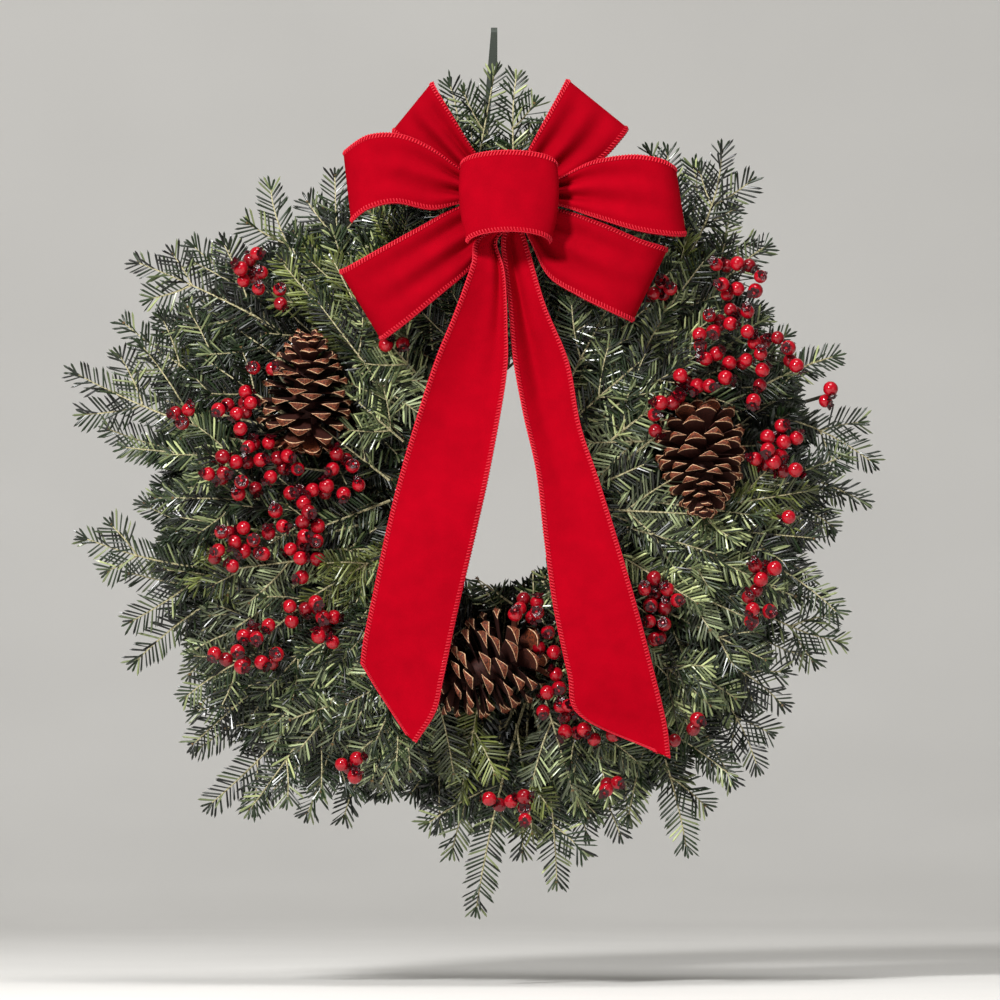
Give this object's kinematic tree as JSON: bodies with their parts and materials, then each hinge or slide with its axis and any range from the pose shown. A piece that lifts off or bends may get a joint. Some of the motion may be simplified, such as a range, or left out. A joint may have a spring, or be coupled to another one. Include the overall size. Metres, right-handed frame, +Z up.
{
  "type": "evergreen wreath with bow",
  "caption": "Hanging fir wreath on a wire clamp ring, with a red velvet bow and tails, pine cones, red berry picks and an over-door hanger.",
  "frame": {"origin": "middle of the hanger's seat, where its underside rests on the door's top edge", "axes": "+Z up, +X to the viewer's right, -Y out from the door's face towards the viewer"},
  "size_m": [0.6332, 0.2253, 0.6915],
  "materials": {
    "fir": "green fir needles, waxy",
    "berry": "red lacquer",
    "wire": "dark green enamel",
    "velvet": "red velvet",
    "bark": "dry pine cone scales",
    "steel": "dark satin paint"
  },
  "bodies": {
    "root": {"berries_below_left_cone": "berry", "berries_beside_bottom_cone": "berry", "berries_beside_bow": "berry", "berries_beside_left_cone": "berry", "berries_beside_right_cone": "berry", "berries_beside_right_tail": "berry", "berries_far_left": "berry", "berries_far_right": "berry", "berries_foot": "berry", "berries_left_foot": "berry", "berries_left_inner": "berry", "berries_left_middle": "berry", "berries_left_outer": "berry", "berries_left_top": "berry", "berries_lower_left_inner": "berry", "berries_lower_left_outer": "berry", "berries_lower_right": "berry", "berries_right_foot": "berry", "berries_right_inner": "berry", "berries_right_lower_middle": "berry", "berries_right_outer": "berry", "berries_right_single": "berry", "berries_right_upper_middle": "berry", "berries_under_bow": "berry", "berries_under_right_tail": "berry", "berries_upper_left": "berry", "berries_upper_right": "berry", "bow_centre_loop": "velvet", "bow_loop_lower_left": "velvet", "bow_loop_lower_right": "velvet", "bow_loop_middle_left": "velvet", "bow_loop_middle_right": "velvet", "bow_loop_upper_left": "velvet", "bow_loop_upper_right": "velvet", "bow_tail_left": "velvet", "bow_tail_right": "velvet", "bow_tie": "wire", "cone_bottom": "bark", "cone_left": "bark", "cone_right": "bark", "cone_wire_bottom": "wire", "cone_wire_left": "wire", "cone_wire_right": "wire", "door_hanger": "steel", "fir_bunch_01": "fir", "fir_bunch_02": "fir", "fir_bunch_03": "fir", "fir_bunch_04": "fir", "fir_bunch_05": "fir", "fir_bunch_06": "fir", "fir_bunch_07": "fir", "fir_bunch_08": "fir", "fir_bunch_09": "fir", "fir_bunch_10": "fir", "fir_bunch_11": "fir", "fir_bunch_12": "fir", "ring_frame": "wire"}
  },
  "joints": []
}
